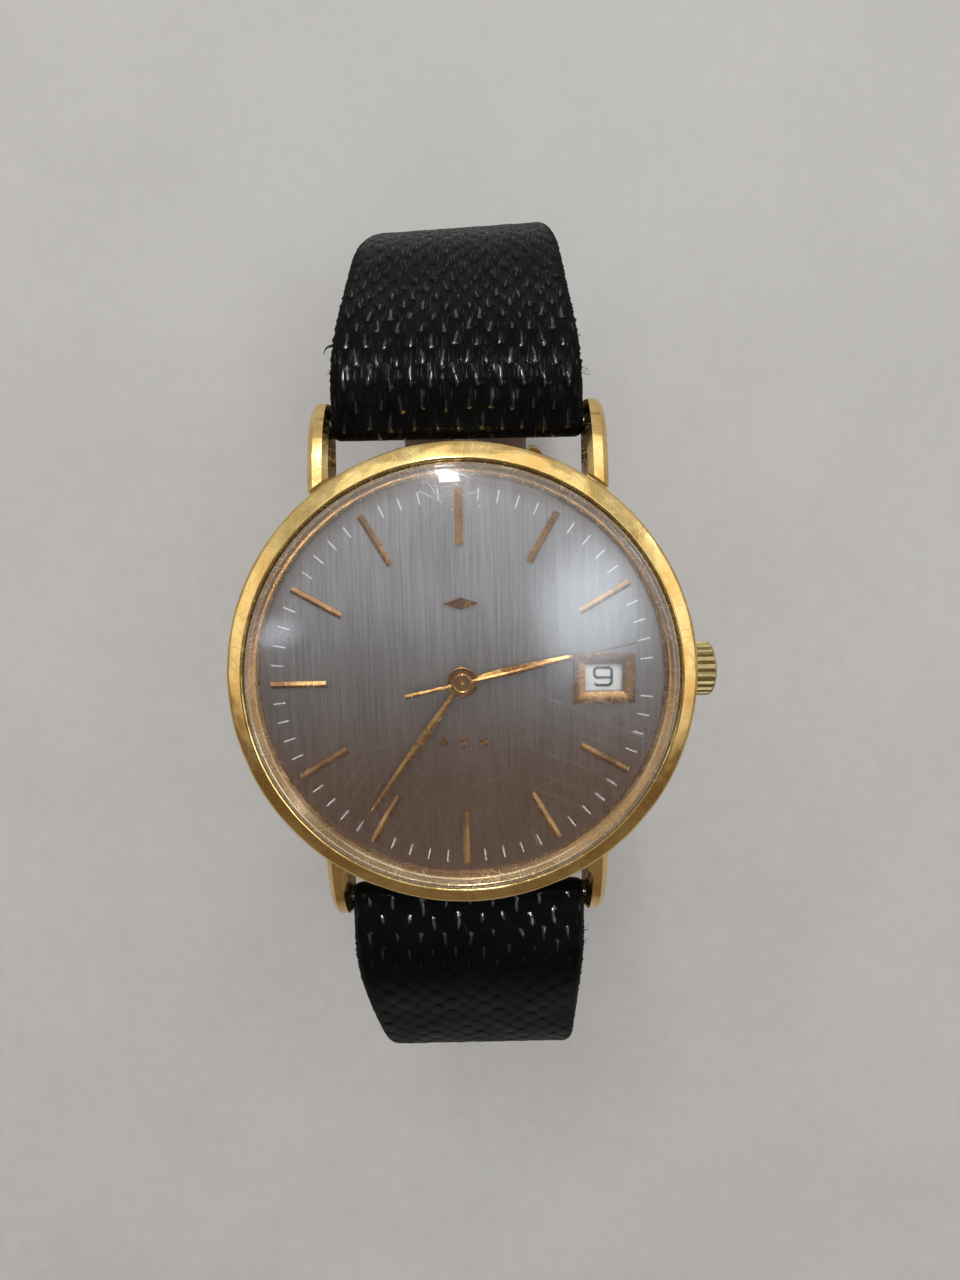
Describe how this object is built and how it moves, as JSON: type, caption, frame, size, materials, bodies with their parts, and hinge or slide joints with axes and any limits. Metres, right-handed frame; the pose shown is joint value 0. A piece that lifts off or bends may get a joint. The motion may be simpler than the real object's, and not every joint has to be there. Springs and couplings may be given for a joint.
{
  "type": "wristwatch",
  "caption": "Round self-winding wristwatch with date window, domed crystal and fluted crown, on an open leather strap hinged on spring bars, with pin buckle and keepers.",
  "frame": {"origin": "centre of the case back's flat outer face, on the axis of the hands", "axes": "+Z out of the dial, +Y to twelve o'clock, +X to the crown"},
  "size_m": [0.0371, 0.0845, 0.0643],
  "materials": {
    "case_gold": "polished gold plate",
    "crown_gold": "worn gold plate",
    "ring_gold": "polished",
    "crystal_clear": "polished acrylic",
    "dial_grey": "vertical brushed silver grey",
    "applied_gold": "faceted and polished",
    "hand_gold": "polished",
    "date_white": "matt white",
    "movement_nickel": "nickel plated",
    "wheel_brass": "gilt",
    "steel": "satin",
    "spring_steel": "blued",
    "ruby": "polished",
    "gasket": "matt",
    "strap_black": "lizard grain, glossy",
    "lining": "smooth, matt",
    "buckle_gold": "polished gold plate"
  },
  "bodies": {
    "case": {"case_middle": "case_gold", "bezel": "case_gold", "crystal": "crystal_clear", "crystal_tension_ring": "ring_gold", "case_back": "steel", "case_back_gasket": "gasket", "movement_holder_ring": "movement_nickel", "spring_bar_12": "steel", "spring_bar_6": "steel", "crown_tube": "steel", "main_plate": "movement_nickel", "barrel_bridge": "movement_nickel", "train_bridge": "movement_nickel", "balance_cock": "movement_nickel", "pallet_bridge": "movement_nickel", "movement_screws": "steel", "jewels": "ruby", "hairspring": "spring_steel", "rotor_bearing": "movement_nickel", "dial": "dial_grey", "hour_markers": "applied_gold", "date_window_frame": "applied_gold", "dial_ornaments": "applied_gold"},
    "minute_group": {"center_wheel": "wheel_brass", "cannon_pinion": "steel", "minute_hand": "hand_gold"},
    "third_group": {"third_wheel": "wheel_brass"},
    "seconds_group": {"fourth_wheel": "wheel_brass", "seconds_hand": "hand_gold"},
    "escape_group": {"escape_wheel": "steel"},
    "barrel_group": {"barrel": "wheel_brass", "mainspring": "spring_steel"},
    "minute_wheel_group": {"minute_wheel": "wheel_brass"},
    "hour_group": {"hour_wheel": "wheel_brass", "hour_hand": "hand_gold"},
    "date_drive": {"date_wheel": "wheel_brass"},
    "date_ring": {"date_disc": "date_white"},
    "date_jumper_arm": {"date_jumper": "steel"},
    "rotor_group": {"rotor": "movement_nickel"},
    "balance_group": {"balance_wheel": "wheel_brass"},
    "pallet_group": {"pallet_fork": "steel"},
    "crown_slide": {"crown_gasket": "gasket"},
    "crown_group": {"crown": "crown_gold", "winding_stem": "steel"},
    "winding_pinion_group": {"winding_pinion": "steel"},
    "sliding_pinion_group": {"sliding_pinion": "steel"},
    "setting_lever_arm": {"setting_lever": "steel"},
    "yoke_arm": {"yoke": "steel"},
    "crown_wheel_group": {"crown_wheel": "steel"},
    "ratchet_group": {"ratchet_wheel": "steel"},
    "click_arm": {"click": "steel"},
    "strap_12": {"strap_upper": "strap_black", "strap_upper_lining": "lining", "fixed_keeper": "strap_black", "buckle_bar": "steel"},
    "strap_6": {"strap_lower": "strap_black", "strap_lower_lining": "lining"},
    "sliding_keeper": {"floating_keeper": "strap_black"},
    "buckle": {"buckle_frame": "buckle_gold"},
    "tang": {"buckle_tang": "buckle_gold"}
  },
  "joints": [
    {"name": "minute_turn", "type": "hinge", "parent": "case", "child": "minute_group", "pos_m": [0, 0, 0.0073], "axis": [0, 0, -1], "continuous": true},
    {"name": "third_turn", "type": "hinge", "parent": "case", "child": "third_group", "pos_m": [-0.00432, -0.00157, 0.003], "axis": [0, 0, -1], "continuous": true},
    {"name": "seconds_turn", "type": "hinge", "parent": "case", "child": "seconds_group", "pos_m": [0, 0, 0.0076], "axis": [0, 0, -1], "continuous": true},
    {"name": "escape_turn", "type": "hinge", "parent": "case", "child": "escape_group", "pos_m": [-0.0004, -0.0046, 0.0037], "axis": [0, 0, -1], "continuous": true},
    {"name": "barrel_turn", "type": "hinge", "parent": "case", "child": "barrel_group", "pos_m": [0.002, 0.0055, 0.0038], "axis": [0, 0, -1], "continuous": true},
    {"name": "minute_wheel_turn", "type": "hinge", "parent": "case", "child": "minute_wheel_group", "pos_m": [-0.00208, 0.0012, 0.0054], "axis": [0, 0, -1], "continuous": true},
    {"name": "hour_turn", "type": "hinge", "parent": "case", "child": "hour_group", "pos_m": [0, 0, 0.007], "axis": [0, 0, -1], "continuous": true},
    {"name": "date_wheel_turn", "type": "hinge", "parent": "case", "child": "date_drive", "pos_m": [0.00135, -0.00502, 0.0058], "axis": [0, 0, -1], "continuous": true},
    {"name": "date_ring_turn", "type": "hinge", "parent": "case", "child": "date_ring", "pos_m": [0, 0, 0.006], "axis": [0, 0, -1], "continuous": true},
    {"name": "date_jumper_rock", "type": "hinge", "parent": "case", "child": "date_jumper_arm", "pos_m": [-0.00382, 0.00489, 0.006], "axis": [0, 0, -1], "range_deg": [0, 6]},
    {"name": "rotor_turn", "type": "hinge", "parent": "case", "child": "rotor_group", "pos_m": [0, 0, 0.0012], "axis": [0, 0, 1], "continuous": true},
    {"name": "balance_swing", "type": "hinge", "parent": "case", "child": "balance_group", "pos_m": [0.00386, -0.00759, 0.0032], "axis": [0, 0, 1], "range_deg": [-270, 270], "stiffness_Nm_per_rad": 0.000000074},
    {"name": "pallet_rock", "type": "hinge", "parent": "case", "child": "pallet_group", "pos_m": [0.00165, -0.00604, 0.0037], "axis": [0, 0, 1], "range_deg": [-5, 5]},
    {"name": "crown_pull", "type": "slide", "parent": "case", "child": "crown_slide", "axis": [1, 0, 0], "range_m": [0, 0.0008]},
    {"name": "crown_turn", "type": "hinge", "parent": "crown_slide", "child": "crown_group", "pos_m": [0.018, 0, 0.004], "axis": [1, 0, 0], "continuous": true},
    {"name": "winding_pinion_turn", "type": "hinge", "parent": "case", "child": "winding_pinion_group", "pos_m": [0.0093, 0, 0.004], "axis": [1, 0, 0], "continuous": true},
    {"name": "sliding_pinion_shift", "type": "slide", "parent": "case", "child": "sliding_pinion_group", "axis": [-1, 0, 0], "range_m": [0, 0.0005]},
    {"name": "setting_lever_turn", "type": "hinge", "parent": "case", "child": "setting_lever_arm", "pos_m": [0.0102, 0.003, 0.0053], "axis": [0, 0, 1], "range_deg": [0, 15.4]},
    {"name": "yoke_turn", "type": "hinge", "parent": "case", "child": "yoke_arm", "pos_m": [0.0081, -0.004, 0.0053], "axis": [0, 0, 1], "range_deg": [0, 7.3]},
    {"name": "crown_wheel_turn", "type": "hinge", "parent": "case", "child": "crown_wheel_group", "pos_m": [0.0072, 0, 0.0022], "axis": [0, 0, -1], "continuous": true},
    {"name": "ratchet_turn", "type": "hinge", "parent": "case", "child": "ratchet_group", "pos_m": [0.002, 0.0055, 0.0022], "axis": [0, 0, -1], "continuous": true},
    {"name": "click_rock", "type": "hinge", "parent": "case", "child": "click_arm", "pos_m": [-0.00458, 0.00789, 0.00175], "axis": [0, 0, 1], "range_deg": [0, 8]},
    {"name": "strap_12_swing", "type": "hinge", "parent": "case", "child": "strap_12", "pos_m": [0, 0.019, 0.0024], "axis": [1, 0, 0], "range_deg": [0, 45]},
    {"name": "strap_6_swing", "type": "hinge", "parent": "case", "child": "strap_6", "pos_m": [0, -0.019, 0.0024], "axis": [-1, 0, 0], "range_deg": [0, 45]},
    {"name": "keeper_slide", "type": "slide", "parent": "strap_12", "child": "sliding_keeper", "axis": [0, 0.9613, 0.2756], "range_m": [-0.0023, 0.0018]},
    {"name": "buckle_swing", "type": "hinge", "parent": "strap_12", "child": "buckle", "pos_m": [0, 0.01813, -0.05004], "axis": [1, 0, 0], "range_deg": [-60, 30]},
    {"name": "tang_swing", "type": "hinge", "parent": "buckle", "child": "tang", "pos_m": [0, 0.01813, -0.05004], "axis": [1, 0, 0], "range_deg": [0, 75]}
  ],
  "couplings": [
    {"joint": "third_turn", "follows": "minute_turn", "ratio": -8},
    {"joint": "seconds_turn", "follows": "minute_turn", "ratio": 60},
    {"joint": "escape_turn", "follows": "minute_turn", "ratio": -600},
    {"joint": "barrel_turn", "follows": "minute_turn", "ratio": -0.125},
    {"joint": "minute_wheel_turn", "follows": "minute_turn", "ratio": -0.33333},
    {"joint": "hour_turn", "follows": "minute_turn", "ratio": 0.083333},
    {"joint": "date_wheel_turn", "follows": "minute_turn", "ratio": -0.041667},
    {"joint": "winding_pinion_turn", "follows": "crown_turn", "ratio": 1},
    {"joint": "crown_wheel_turn", "follows": "crown_turn", "ratio": -0.4},
    {"joint": "ratchet_turn", "follows": "crown_turn", "ratio": 0.175},
    {"joint": "sliding_pinion_shift", "follows": "crown_pull", "ratio": 0.625},
    {"joint": "setting_lever_turn", "follows": "crown_pull", "rad_per_m": 333.33},
    {"joint": "yoke_turn", "follows": "crown_pull", "rad_per_m": 156.25}
  ]
}
